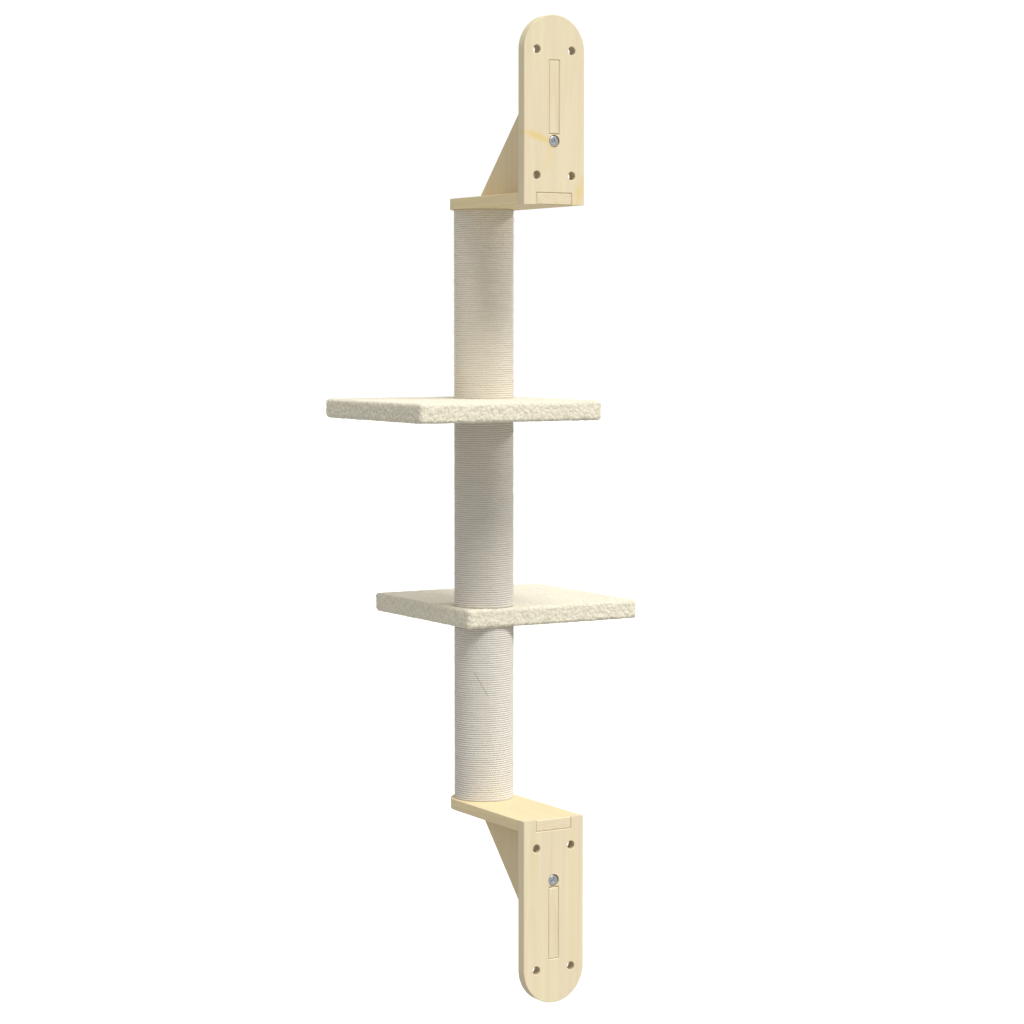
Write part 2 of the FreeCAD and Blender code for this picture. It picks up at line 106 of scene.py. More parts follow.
# ------------------------ settings
class PineSettings(bpy.types.PropertyGroup):
    """Look of the bracket boards."""

    early_wood: bpy.props.FloatVectorProperty(
        name="Early wood", description="Colour of the pale spring growth",
        subtype="COLOR", default=(0.805, 0.71, 0.505),
    )
    late_wood: bpy.props.FloatVectorProperty(
        name="Late wood", description="Colour of the dark lines between the rings",
        subtype="COLOR", default=(0.74, 0.605, 0.385),
    )
    resin: bpy.props.FloatVectorProperty(
        name="Resin", description="Colour of a streak of resin",
        subtype="COLOR", default=(0.80, 0.62, 0.25),
    )
    ring_spacing: bpy.props.FloatProperty(
        name="Ring spacing", description="From one growth ring to the next",
        default=4.6 * MM, unit="LENGTH", precision=4,
    )
    # Painted shade: the drilled walls of the screw holes take this darker colour for the shade
    # inside them.
    bore_shade: bpy.props.FloatVectorProperty(
        name="Bore", description="Colour of the drilled walls of the screw holes",
        subtype="COLOR", default=(0.56, 0.46, 0.32),
    )


class CordSettings(bpy.types.PropertyGroup):
    """Size and look of the cord wound round the posts."""

    across: bpy.props.FloatProperty(
        name="Across", description="Cord thickness, from the tube outwards",
        default=2.5 * MM, unit="LENGTH", precision=4,
    )
    pitch: bpy.props.FloatProperty(
        name="Pitch", description="From one turn to the next, before it is fitted to the post",
        default=2.95 * MM, unit="LENGTH", precision=4,
    )
    colour: bpy.props.FloatVectorProperty(
        name="Colour", description="Colour of the cord's yarns",
        subtype="COLOR", default=(0.85, 0.80, 0.70),
    )
    # Painted shade: the grooves between the yarns take this darker colour for the shade that falls
    # in them.
    groove_shade: bpy.props.FloatVectorProperty(
        name="Groove", description="Colour between the twisted yarns",
        subtype="COLOR", default=(0.70, 0.64, 0.53),
    )
    fibres: bpy.props.IntProperty(
        name="Fibres", description="Short loose fibres on each post", default=4500, min=0,
    )


class PlushSettings(bpy.types.PropertyGroup):
    """Size and look of the plush on the platforms."""

    tuft: bpy.props.FloatProperty(
        name="Tuft", description="Width of one curled tuft",
        default=6.2 * MM, unit="LENGTH", precision=4,
    )
    depth: bpy.props.FloatProperty(
        name="Depth", description="Depth of the gaps between the tufts",
        default=1.4 * MM, unit="LENGTH", precision=4,
    )
    rounding: bpy.props.FloatProperty(
        name="Rounding", description="Radius of the platform's edges and corners",
        default=4.0 * MM, unit="LENGTH", precision=4,
    )
    colour: bpy.props.FloatVectorProperty(
        name="Colour", description="Colour of the tufts",
        subtype="COLOR", default=(0.838, 0.785, 0.628),
    )
    # Painted shade: the gaps between the tufts take this darker colour for the shade deep in the
    # pile.
    shade: bpy.props.FloatVectorProperty(
        name="Shade", description="Colour deep between the tufts",
        subtype="COLOR", default=(0.675, 0.615, 0.465),
    )


class StageSettings(bpy.types.PropertyGroup):
    """Light and floor."""

    key: bpy.props.FloatProperty(
        name="Key light", description="Strength of the large lamp above the wall side",
        default=0.735, min=0,
    )
    side: bpy.props.FloatProperty(
        name="Side light", description="Strength of the weak lamp at the side",
        default=0.30, min=0,
    )
    ambient: bpy.props.FloatProperty(
        name="Ambient", description="Strength of the light from all round",
        default=0.48, min=0,
    )
    overhead: bpy.props.FloatProperty(
        name="Overhead", description="How much stronger the ambient light is from above",
        default=0.19, min=0,
    )
    bounce: bpy.props.FloatProperty(
        name="Bounce", description="Share of its light that the floor sends up to the tree",
        default=0.29, min=0, max=1,
    )
    floor_drop: bpy.props.FloatProperty(
        name="Floor drop", description="From the tree's lowest point down to the floor",
        default=0.6, unit="LENGTH",
    )


# ------------------------ shader helpers
class Wiring:
    """Adds nodes to one shader tree and links them."""

    def __init__(self, tree):
        self.tree = tree

    def feed(self, socket, value):
        """Give a socket a value, or link another socket to it."""
        if isinstance(value, bpy.types.NodeSocket):
            self.tree.links.new(value, socket)
        else:
            socket.default_value = value

    def add(self, kind, inputs=None, **settings):
        """A new node with its settings made and its named or numbered inputs fed."""
        made = self.tree.nodes.new("ShaderNode" + kind)
        for setting, value in settings.items():
            setattr(made, setting, value)
        for key, value in (inputs or {}).items():
            self.feed(made.inputs[key], value)
        return made

    def math(self, operation, *values):
        """One number worked out from others."""
        return self.add("Math", dict(enumerate(values)), operation=operation).outputs[0]

    def vector(self, operation, *values):
        """One vector worked out from others."""
        return self.add("VectorMath", dict(enumerate(values)), operation=operation).outputs[0]

    def scaled(self, vector, factor):
        """A vector or colour times a number."""
        return self.add("VectorMath", {0: vector, "Scale": factor}, operation="SCALE").outputs[0]

    def length(self, value):
        """Length of a vector."""
        return self.add("VectorMath", {0: value}, operation="LENGTH").outputs["Value"]

    def dot(self, first, second):
        """Dot product of two vectors."""
        made = self.add("VectorMath", {0: first, 1: second}, operation="DOT_PRODUCT")
        return made.outputs["Value"]

    def step(self, value, start, end):
        """A smooth step from 0 at start to 1 at end."""
        inputs = {"Value": value, "From Min": start, "From Max": end}
        return self.add("MapRange", inputs, interpolation_type="SMOOTHSTEP").outputs[0]

    def mix(self, factor, first, second):
        """A colour between two others."""
        made = self.add("Mix", data_type="RGBA", blend_type="MIX")
        self.feed(made.inputs["Factor"], factor)
        self.feed(made.inputs[6], first)
        self.feed(made.inputs[7], second)
        return made.outputs[2]

    def noise(self, vector, scale, detail=2.0, roughness=0.5):
        """Smooth noise from 0 to 1."""
        inputs = {"Vector": vector, "Scale": scale, "Detail": detail, "Roughness": roughness}
        return self.add("TexNoise", inputs).outputs[0]

    def group(self, group, inputs):
        """An instance of a node group."""
        made = self.tree.nodes.new("ShaderNodeGroup")
        made.node_tree = group
        for key, value in inputs.items():
            self.feed(made.inputs[key], value)
        return made.outputs


def colour4(colour):
    """A colour setting with its alpha."""
    return (*colour, 1.0)


def shader_group(name, inputs, outputs, wire):
    """A node group made once; wire(wiring, inputs) returns its outputs by name."""
    group = bpy.data.node_groups.get(name)
    if group:
        return group
    group = bpy.data.node_groups.new(name, "ShaderNodeTree")
    for label, kind in inputs:
        group.interface.new_socket(label, in_out="INPUT", socket_type="NodeSocket" + kind)
    for label, kind in outputs:
        group.interface.new_socket(label, in_out="OUTPUT", socket_type="NodeSocket" + kind)
    wiring = Wiring(group)
    given = group.nodes.new("NodeGroupInput").outputs
    result = group.nodes.new("NodeGroupOutput").inputs
    for label, socket in wire(wiring, given).items():
        wiring.feed(result[label], socket)
    return group


def new_material(name, **constants):
    """A material with its wiring and shader; the constants are set on the shader's sockets."""
    material = bpy.data.materials.new(name)
    material.use_nodes = True
    wiring = Wiring(material.node_tree)
    shader = material.node_tree.nodes["Principled BSDF"]
    for key, value in constants.items():
        shader.inputs[key.replace("_", " ")].default_value = value
    return material, wiring, shader


def bump(wiring, shader, height, distance, strength=1.0):
    """Feed a height to the shader's normal."""
    inputs = {"Strength": strength, "Distance": distance, "Height": height}
    wiring.feed(shader.inputs["Normal"], wiring.add("Bump", inputs).outputs[0])


# ------------------------ shader groups
# Pine: places are counted in millimetres, and one ring runs from 0 to 1.
RING_WANDER = 20             # how far the rings stray from circles
LATE_RISE = (0.1, 0.85)      # where the late wood begins and is darkest
LATE_FALL = (1.0, 0.88)      # where it has ended and begins to end
RING_VARIETY = 0.8           # how much the rings differ in darkness
ROSY = (1.0, 0.965, 0.95)    # the two tones of the broad bands
GOLDEN = (1.0, 0.995, 0.93)
BAND_EDGES = (0.3, 0.7)
FLECK_EDGES = (0.68, 0.8)
FLECK_STRENGTH = 0.18
DARKEST_TONE = 0.90
BROAD_TONE = 0.12            # what slow changes and fibres add to it
FIBRE_TONE = 0.07
RING_RELIEF = 0.5            # height of the late wood against the fibres

STREAK_RAGGED = 0.6          # how much a streak's width varies
STREAK_EDGE = 1.1            # where a streak has faded, in widths
BORE_MARGIN = 0.25 * MM      # slack round a hole's radius
BORE_SHADE_EDGES = (-0.1 * MM, -1.2 * MM)   # Y where the drilled wall's painted shade begins and is darkest

SPECKLE_FINER = 7            # scale of the fine speckles against the coarse ones
SPECKLE_FINE = 0.4           # and their strength

YARNS = 3
YARN_BULGE = 0.6
YARN_FIBRES_ALONG = 260      # fibres to the metre of cord
YARN_FIBRES_ROUND = 4
SLOW_ALONG = (22, 0, 0)      # slow change of tone, to the metre of cord


def grain_noise(w, place, along, scale, detail, roughness=0.5):
    """Noise in wood; along is its scale along the grain against the one across."""
    return w.noise(w.vector("MULTIPLY", place, (1, 1, along)), scale, detail, roughness)


def wire_pine(w, given):
    """Growth rings round the local Z axis, fibres along it, and broad bands of another tone."""
    place = w.vector("MULTIPLY", given["Vector"], (1 / MM, 1 / MM, 1 / MM))
    stray = w.math("SUBTRACT", grain_noise(w, place, along=0.06, scale=0.03, detail=3), 0.5)
    wander = w.math("MULTIPLY", stray, RING_WANDER)
    from_pith = w.length(w.vector("MULTIPLY", place, (1, 1, 0)))
    rings = w.math("DIVIDE", w.math("ADD", from_pith, wander), given["Spacing"])
    through = w.math("FRACT", rings)
    late = w.math("MULTIPLY", w.step(through, *LATE_RISE), w.step(through, *LATE_FALL))
    number = {"W": w.math("FLOOR", rings)}
    each = w.add("TexWhiteNoise", number, noise_dimensions="1D").outputs[0]
    late = w.math("MULTIPLY", late, w.math("MULTIPLY_ADD", each, RING_VARIETY, 1 - RING_VARIETY))
    fibres = grain_noise(w, place, along=0.02, scale=1.1, detail=4, roughness=0.6)
    bands = grain_noise(w, place, along=0.04, scale=0.09, detail=2)
    flecks = w.step(grain_noise(w, place, along=0.09, scale=0.9, detail=2), *FLECK_EDGES)
    broad = grain_noise(w, place, along=0.012, scale=0.13, detail=1)
    ringed = w.math("MULTIPLY", late, given["Contrast"])
    colour = w.mix(ringed, given["Early wood"], given["Late wood"])
    rosy = w.vector("MULTIPLY", colour, ROSY)
    golden = w.vector("MULTIPLY", colour, GOLDEN)
    colour = w.mix(w.step(bands, *BAND_EDGES), rosy, golden)
    colour = w.mix(w.math("MULTIPLY", flecks, FLECK_STRENGTH), colour, given["Late wood"])
    tone = w.math("MULTIPLY_ADD", broad, BROAD_TONE, DARKEST_TONE)
    colour = w.scaled(colour, w.math("MULTIPLY_ADD", fibres, FIBRE_TONE, tone))
    height = w.math("MULTIPLY_ADD", late, RING_RELIEF, fibres)
    return {"Color": colour, "Height": height, "Fibres": fibres}


def pine_grain():
    """The growth rings and fibres of the boards."""
    inputs = [("Vector", "Vector"), ("Spacing", "Float"), ("Contrast", "Float")]
    inputs += [("Early wood", "Color"), ("Late wood", "Color")]
    outputs = [("Color", "Color"), ("Height", "Float"), ("Fibres", "Float")]
    return shader_group("pine_grain", inputs, outputs, wire_pine)


def wire_streak(w, given):
    """Mask of a soft streak round the line from Start to End, seen along Y."""
    start = given["Start"]
    run = w.vector("SUBTRACT", given["End"], start)
    way = w.vector("MULTIPLY", w.vector("SUBTRACT", given["Vector"], start), (1, 0, 1))
    share = w.math("DIVIDE", w.dot(way, run), w.dot(run, run))
    share = w.math("MINIMUM", w.math("MAXIMUM", share, 0), 1)
    nearest = w.scaled(run, share)
    apart = w.math("DIVIDE", w.length(w.vector("SUBTRACT", way, nearest)), given["Width"])
    ragged = grain_noise(w, given["Vector"], along=0.4, scale=140, detail=2)
    ragged = w.math("MULTIPLY_ADD", ragged, STREAK_RAGGED, -STREAK_RAGGED / 2)
    return {"Mask": w.step(w.math("ADD", apart, ragged), STREAK_EDGE, 0.0)}


def streak_mask():
    """A streak of resin or of darker heartwood on a board's face."""
    inputs = [("Vector", "Vector"), ("Start", "Vector"), ("End", "Vector"), ("Width", "Float")]
    return shader_group("board_streak", inputs, [("Mask", "Float")], wire_streak)


def wire_bore_shade(w, given):
    """Mask of painted shade on a drilled wall round Centre, darker deeper along Y, in a board
    whose wall side is Y = 0.
    """
    apart = w.vector("MULTIPLY", w.vector("SUBTRACT", given["Vector"], given["Centre"]), (1, 0, 1))
    near = w.math("LESS_THAN", w.length(apart), w.math("ADD", given["Radius"], BORE_MARGIN))
    deep = w.add("SeparateXYZ", {0: given["Vector"]}).outputs[1]
    rough = w.noise(w.vector("MULTIPLY", given["Vector"], (1, 6, 1)), 260, 3)
    inside = w.math("MULTIPLY", w.step(deep, *BORE_SHADE_EDGES), near)
    return {"Mask": w.math("MULTIPLY", inside, w.math("MULTIPLY_ADD", rough, 0.5, 0.6))}


def bore_shade_mask():
    """Painted shade on the drilled wall of a screw hole, darkest inside it."""
    inputs = [("Vector", "Vector"), ("Centre", "Vector"), ("Radius", "Float")]
    return shader_group("bore_wall_shade", inputs, [("Mask", "Float")], wire_bore_shade)


def wire_speckle(w, given):
    """Fine and coarse noise as one tone round 1, for a plain surface."""
    coarse = w.noise(given["Vector"], given["Scale"], 4, 0.6)
    fine = w.noise(given["Vector"], w.math("MULTIPLY", given["Scale"], SPECKLE_FINER), 3)
    both = w.math("MULTIPLY_ADD", fine, SPECKLE_FINE, coarse)
    from_middle = w.math("SUBTRACT", both, 0.5 + SPECKLE_FINE / 2)
    tone = w.math("MULTIPLY_ADD", from_middle, given["Amount"], 1)
    return {"Color": w.scaled(given["Color"], tone), "Height": both}


def speckle():
    """Uneven tone and height of a plain surface."""
    inputs = [("Vector", "Vector"), ("Color", "Color"), ("Scale", "Float"), ("Amount", "Float")]
    return shader_group("speckle", inputs, [("Color", "Color"), ("Height", "Float")], wire_speckle)


def wire_twist(w, given):
    """Yarns twisted round each other: the vector's X runs along the cord, Y once round it."""
    along, around = w.add("SeparateXYZ", {0: given["Vector"]}).outputs[:2]
    turns = w.math("DIVIDE", along, given["Lay"])
    phase = w.math("MULTIPLY", w.math("ADD", around, turns), YARNS)
    wave = w.math("SINE", w.math("MULTIPLY", phase, math.pi))
    bulge = w.math("POWER", w.math("ABSOLUTE", wave), YARN_BULGE)
    laid = w.add("CombineXYZ", {
        0: w.math("MULTIPLY", along, YARN_FIBRES_ALONG),
        1: w.math("MULTIPLY", phase, YARN_FIBRES_ROUND),
    })
    fibres = w.noise(laid.outputs[0], 1.0, 3, 0.7)
    slow = w.noise(w.vector("MULTIPLY", given["Vector"], SLOW_ALONG), 1.0, 2)
    return {"Bulge": bulge, "Fibres": fibres, "Slow": slow}


def cord_twist():
    """The twist of the cord."""
    inputs = [("Vector", "Vector"), ("Lay", "Float")]
    outputs = [("Bulge", "Float"), ("Fibres", "Float"), ("Slow", "Float")]
    return shader_group("cord_twist", inputs, outputs, wire_twist)


# ------------------------ materials
WOOD_ROUGHNESS = 0.42        # of the smoothest wood
WOOD_ROUGHER = 0.18          # and what its fibres add
WOOD_RELIEF = 0.12 * MM
TINT_FADE = (-3 * MM, -0.5 * MM)    # Y over which a board's tint, and with it the gusset's painted shade, fades out towards its wall side

CORD_LAY = 7.5 * MM          # length of cord in which its yarns go round once
GROOVE_SHADE_EDGES = (0.15, 0.75)
CORD_RELIEF = 0.4 * MM

TUFT_EDGES = (0.0, 0.62)
CURL_SCALE = 900
CURL_SHARE = 0.3             # how far the fine curls shift a tuft between its colour and the painted shade
CURL_RELIEF = 0.5 * MM
PILE_FINE_SCALE = 2200

# Plain finishes: colour, the speckles' scale, amount and depth, metallic and roughness.
FINISHES = {
    "bright_zinc": ((0.60, 0.63, 0.68), 900, 0.25, 0.02 * MM, 1.0, 0.34),
    "plain_steel": ((0.52, 0.52, 0.51), 700, 0.3, 0.02 * MM, 1.0, 0.42),
    "beech_dowel": ((0.66, 0.48, 0.31), 500, 0.35, 0.1 * MM, 0.0, 0.6),
    "core_cardboard": ((0.47, 0.35, 0.23), 220, 0.3, 0.1 * MM, 0.0, 0.85),
    "pressed_board": ((0.60, 0.47, 0.31), 350, 0.6, 0.2 * MM, 0.0, 0.75),
    "cord_fluff": (None, 300, 0.1, 0.01 * MM, 0.0, 0.8),
    # The strand's grey is partly its own darker tone and partly painted shade.
    "strand_tone_and_shade": ((0.36, 0.34, 0.30), 300, 0.2, 0.01 * MM, 0.0, 0.8),
}


def object_place(wiring):
    """Object coordinates."""
    return wiring.add("TexCoord").outputs["Object"]


def pine_material(name, settings, turned, pith, contrast, tint=(1, 1, 1), streaks=(), holes=()):
    """Pine: turned and pith bring the grain to the local Z axis and the trunk's middle to 0."""
    material, w, shader = new_material(name, Specular_IOR_Level=0.32)
    place = object_place(w)
    mapped = w.add("Mapping", {"Vector": place, "Rotation": turned, "Location": pith}).outputs[0]
    grain = w.group(pine_grain(), {
        "Vector": mapped,
        "Spacing": settings.ring_spacing / MM,
        "Contrast": contrast,
        "Early wood": colour4(settings.early_wood),
        "Late wood": colour4(settings.late_wood),
    })
    # The tints fade out at the wall side, so the gusset's painted shade is lifted off the tenon
    # ends there.
    untinted = w.step(w.add("SeparateXYZ", {0: place}).outputs[1], *TINT_FADE)
    colour = w.mix(untinted, w.vector("MULTIPLY", grain["Color"], tint), grain["Color"])
    for start, end, width, strength in streaks:
        line = {"Vector": place, "Start": start, "End": end, "Width": width}
        mask = w.group(streak_mask(), line)["Mask"]
        colour = w.mix(w.math("MULTIPLY", mask, strength), colour, colour4(settings.resin))
    # Painted shade on the drilled walls, darker deeper in each hole.
    for hole in holes:
        wall = {"Vector": place, "Centre": hole, "Radius": HOLE_RADIUS}
        colour = w.mix(w.group(bore_shade_mask(), wall)["Mask"], colour, colour4(settings.bore_shade))
    w.feed(shader.inputs["Base Color"], colour)
    rough = w.math("MULTIPLY_ADD", grain["Fibres"], WOOD_ROUGHER, WOOD_ROUGHNESS)
    w.feed(shader.inputs["Roughness"], rough)
    bump(w, shader, grain["Height"], WOOD_RELIEF, 0.6)
    return material


def plain_material(name, chosen=None):
    """A plain finish of slightly uneven tone and height, in its own or in a chosen colour."""
    own, scale, amount, depth, metallic, roughness = FINISHES[name]
    material, w, shader = new_material(name, Metallic=metallic, Roughness=roughness)
    colour = colour4(chosen or own)
    inputs = {"Vector": object_place(w), "Color": colour, "Scale": scale, "Amount": amount}
    made = w.group(speckle(), inputs)
    w.feed(shader.inputs["Base Color"], made["Color"])
    bump(w, shader, made["Height"], depth)
    return material


def cord_material(name, settings, tint):
    """Twisted off-white cord with painted shade in the grooves between its yarns, read from its
    own UV map.
    """
    material, w, shader = new_material(
        name, Roughness=0.85, Specular_IOR_Level=0.2, Sheen_Weight=0.15,
    )
    along = w.add("UVMap", uv_map="cord").outputs[0]
    twist = w.group(cord_twist(), {"Vector": along, "Lay": CORD_LAY})
    # Painted shade in the grooves where the yarns dip.
    yarn = w.step(twist["Bulge"], *GROOVE_SHADE_EDGES)
    colour = w.mix(yarn, colour4(settings.groove_shade), colour4(settings.colour))
    tone = w.math("MULTIPLY_ADD", twist["Fibres"], 0.16, 0.92)
    tone = w.math("MULTIPLY", tone, w.math("MULTIPLY_ADD", twist["Slow"], 0.12, 0.94))
    w.feed(shader.inputs["Base Color"], w.vector("MULTIPLY", w.scaled(colour, tone), tint))
    height = w.math("MULTIPLY_ADD", twist["Fibres"], 0.35, twist["Bulge"])
    bump(w, shader, height, CORD_RELIEF, 0.8)
    return material


def plush_material(settings):
    """Curled pile: pale on the tufts, with painted shade between them and in the hollows of the
    fine curls.
    """
    material, w, shader = new_material(
        "plush_pile", Roughness=0.95, Specular_IOR_Level=0.1, Sheen_Weight=0.25,
    )
    place = object_place(w)
    tuft = w.add("Attribute", attribute_name="tuft").outputs["Fac"]
    cells = {"Vector": place, "Scale": CURL_SCALE}
    curls = w.add("TexVoronoi", cells, feature="F1").outputs["Distance"]
    fine = w.noise(place, PILE_FINE_SCALE, 3, 0.7)
    raised = w.math("MULTIPLY_ADD", w.math("SUBTRACT", 0.5, curls), CURL_SHARE, tuft)
    # Painted shade: low pile between the tufts and the curls' hollows take the shade colour.
    lit = w.step(raised, *TUFT_EDGES)
    colour = w.mix(lit, colour4(settings.shade), colour4(settings.colour))
    tone = w.math("MULTIPLY_ADD", fine, 0.2, 0.9)
    w.feed(shader.inputs["Base Color"], w.scaled(colour, tone))
    height = w.math("SUBTRACT", w.math("MULTIPLY", fine, 0.5), curls)
    bump(w, shader, height, CURL_RELIEF, 0.5)
    return material


# ------------------------ making pieces
def in_scene(name, data):
    """A new object in the scene."""
    made = bpy.data.objects.new(name, data)
    bpy.context.scene.collection.objects.link(made)
    return made


def taken_mesh(holder):
    """The mesh that an object shows; the object itself is removed."""
    view = bpy.context.evaluated_depsgraph_get()
    mesh = bpy.data.meshes.new_from_object(holder.evaluated_get(view))
    bpy.data.objects.remove(holder)
    return mesh


def finish_node(node, material):
    """Give a CAD node its material."""
    for place in frame["nodes"][node].material_slots:
        place.material = material


def as_piece(name, mesh, material, replaced=()):
    """A new object that rides on the tree, takes a slot's finish and stands for CAD nodes."""
    mesh.name = name
    mesh.materials.clear()
    mesh.materials.append(material)
    piece = in_scene(name, mesh)
    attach(piece, BODY)
    if replaced:
        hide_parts(*replaced)
    return piece


def finished_mesh(name, bm):
    """Turn a bmesh into a smooth-shaded mesh."""
    mesh = bpy.data.meshes.new(name)
    for face in bm.faces:
        face.smooth = True
    bm.to_mesh(mesh)
    bm.free()
    return mesh


def box_matrix(low, high):
    """Brings a cube of side 1 to the box between two corners."""
    size = Matrix.Diagonal((*(high - low), 1))
    return Matrix.Translation((low + high) / 2) @ size


# ------------------------ boards
PLATE_CONTRAST, ARM_CONTRAST, GUSSET_CONTRAST = 0.27, 0.6, 0.5
ARM_TINT = (1.04, 1.01, 0.89)
# The gusset's darker tint is partly its own tone and partly painted shade on its sides between the
# arm and the plate.
GUSSET_TONE_AND_SHADE = (0.97, 0.93, 0.87)
# Streaks on the plates: X and Z of both ends, width and strength.
STREAKS = {
    "upper": (
        (0.047, -0.0262, 0.034, -0.0285, 0.0050, 0.60),
        (0.034, -0.0285, 0.023, -0.0318, 0.0075, 0.90),
        (0.023, -0.0318, 0.013, -0.0350, 0.0065, 0.75),
        (0.013, -0.0350, 0.006, -0.0420, 0.0070, 0.35),
        (0.004, -0.0500, 0.013, -0.0690, 0.0110, 0.25),
        (-0.044, -0.0860, -0.038, -0.1020, 0.0110, 0.45),
        (-0.038, -0.1020, -0.034, -0.1180, 0.0105, 0.50),
    ),
    "lower": (
        (-0.029, -0.93, -0.027, -1.12, 0.0060, 0.16),
        (0.028, -0.96, 0.029, -1.15, 0.0060, 0.10),
    ),
}


def plate_streaks(bracket):
    """Start, end, width and strength of each streak on a plate."""
    return [
        (Vector((x, 0, z)), Vector((to_x, 0, to_z)), width, strength)
        for x, z, to_x, to_z, width, strength in STREAKS[bracket]
    ]


def finish_boards(bracket, side, pine):
    """Pine on one bracket's boards; side is 1 for the upper bracket and -1 for the lower."""
    finish_node(bracket + "_wall_plate", pine_material(
        bracket + "_plate_pine", pine, (0.035 * side, 0.02, 0), (0.011 * side, 0.047, 0.3),
        PLATE_CONTRAST, streaks=plate_streaks(bracket), holes=hole_places(bracket),
    ))
    finish_node(bracket + "_arm", pine_material(
        bracket + "_arm_pine", pine, (math.radians(88.5), 0, 0), (0.02, -0.09, 0),
        ARM_CONTRAST, ARM_TINT,
    ))
    finish_node(bracket + "_gusset", pine_material(
        bracket + "_gusset_pine", pine, (0.03, 0.01, 0), (0.04, 0.3 * side, 0),
        GUSSET_CONTRAST, GUSSET_TONE_AND_SHADE,
    ))


# ------------------------ windings
# Each post's cord gets its own tint: the top one lighter and warmer, the middle one a little
# darker, the bottom one a little bluer.
CORD_TINTS = {
    "top_post": (1.06, 1.05, 1.03),
    "middle_post": (0.97, 0.97, 0.98),
    "bottom_post": (0.98, 0.99, 1.02),
}
STEPS_PER_TURN = 64
CORD_SIDES = 12
TAIL = 0.12                  # height of the cord's flattened tails against the cord
CORD_CLEAR = 0.2 * MM        # between the winding's ends and the post's ends
TURN_SEAM = 0.96             # height of the cord's section against its pitch
TURNS_JOIN = 0.02 * MM       # nearer points of two turns become one
UNEVEN = 0.11 * MM           # how far the cord wanders in its place
UNEVEN_RUN = 28 * MM         # length of cord over which it wanders
OUTWARD_SEED = Vector((0, 0, 9.5))   # sets its wander outwards apart from that along Z


def post_span(post):
    """Foot and top of a post."""
    low, high = node_box(post + "_core_tube")
    return low.z, high.z


def fitted_turns(post, cord):
    """Number of turns on a post, and the pitch that fills it."""
    low, high = post_span(post)
    room = high - low - 2 * CORD_CLEAR - cord.pitch * TURN_SEAM
    turns = round(room / cord.pitch)
    return turns, room / turns


def one_turn(bm, low, cord, pitch):
    """The lowest turn: an oval section spun once round the post axis, rising by one pitch."""
    radius = WINDING_RADIUS - cord.across / 2
    height = pitch * TURN_SEAM / 2
    foot = low + CORD_CLEAR + height
    centre = Matrix.Translation((POST_AXIS.x + radius, POST_AXIS.y, foot))
    upright = Matrix.Rotation(math.radians(90), 4, "X")
    oval = Matrix.Diagonal((cord.across / 2, height, 1, 1))
    made = bmesh.ops.create_circle(
        bm, cap_ends=False, segments=CORD_SIDES, radius=1.0, matrix=centre @ upright @ oval,
    )
    edges = list({edge for vert in made["verts"] for edge in vert.link_edges})
    bmesh.ops.spin(
        bm,
        geom=made["verts"] + edges,
        cent=(POST_AXIS.x, POST_AXIS.y, foot),
        axis=(0, 0, 1),
        dvec=(0, 0, pitch / STEPS_PER_TURN),
        angle=2 * math.pi,
        steps=STEPS_PER_TURN,
        use_merge=False,
        use_duplicate=False,
    )
    return foot


def repeat_turn(bm, turns, pitch):
    """Copies of the first turn joined end to end, with a spare turn below and above."""
    first = bm.verts[:] + bm.edges[:] + bm.faces[:]
    for turn in range(-1, turns + 1):
        if turn == 0:
            continue
        copy = bmesh.ops.duplicate(bm, geom=first)["geom"]
        verts = [item for item in copy if isinstance(item, bmesh.types.BMVert)]
        bmesh.ops.translate(bm, verts=verts, vec=(0, 0, turn * pitch))
    bmesh.ops.remove_doubles(bm, verts=bm.verts, dist=TURNS_JOIN)


def squeeze_ends(places, foot, pitch, turns, radius):
    """Flatten the spare turns into tails that fill the wedges below and above the winding."""
    half = pitch * TURN_SEAM / 2
    top = foot + pitch * turns
    for vert, (along, _) in places.items():
        turn = along / (2 * math.pi * radius)
        line = foot + pitch * turn
        if turn < 0:
            share = max(TAIL, turn + 1)
            vert.co.z = foot - half + half * share + (vert.co.z - line) * share
        elif turn > turns:
            share = max(TAIL, turns + 1 - turn)
            vert.co.z = top + half - half * share + (vert.co.z - line) * share


def cord_place(co, foot, pitch, radius):
    """Where a point lies on the cord: length along it, and share of the way round its section."""
    x = co.x - POST_AXIS.x
    y = co.y - POST_AXIS.y
    share = (math.atan2(y, x) / (2 * math.pi)) % 1
    turn = round((co.z - foot) / pitch - share)
    line = foot + pitch * (turn + share)
    around = math.atan2(co.z - line, math.hypot(x, y) - radius)
    return (turn + share) * 2 * math.pi * radius, around / (2 * math.pi)


def map_cord(bm, foot, pitch, turns, radius):
    """UV map of the cord, in metres along it and turns round it, and its uneven lie."""
    layer = bm.loops.layers.uv.new("cord")
    turn_length = 2 * math.pi * radius
    places = {vert: cord_place(vert.co, foot, pitch, radius) for vert in bm.verts}
    for face in bm.faces:
        middle = cord_place(face.calc_center_median(), foot, pitch, radius)
        for loop in face.loops:
            along, around = places[loop.vert]
            along += turn_length * round((middle[0] - along) / turn_length)
            around += round(middle[1] - around)
            loop[layer].uv = (along, around)
    squeeze_ends(places, foot, pitch, turns, radius)
    for vert, (along, _) in places.items():
        spot = Vector((along / UNEVEN_RUN, foot / MM, 0))
        if 0 < along < turns * turn_length:
            vert.co.z += UNEVEN * noise.noise(spot)
        out = Vector((vert.co.x - POST_AXIS.x, vert.co.y - POST_AXIS.y, 0)).normalized()
        vert.co += out * UNEVEN * noise.noise(spot + OUTWARD_SEED)


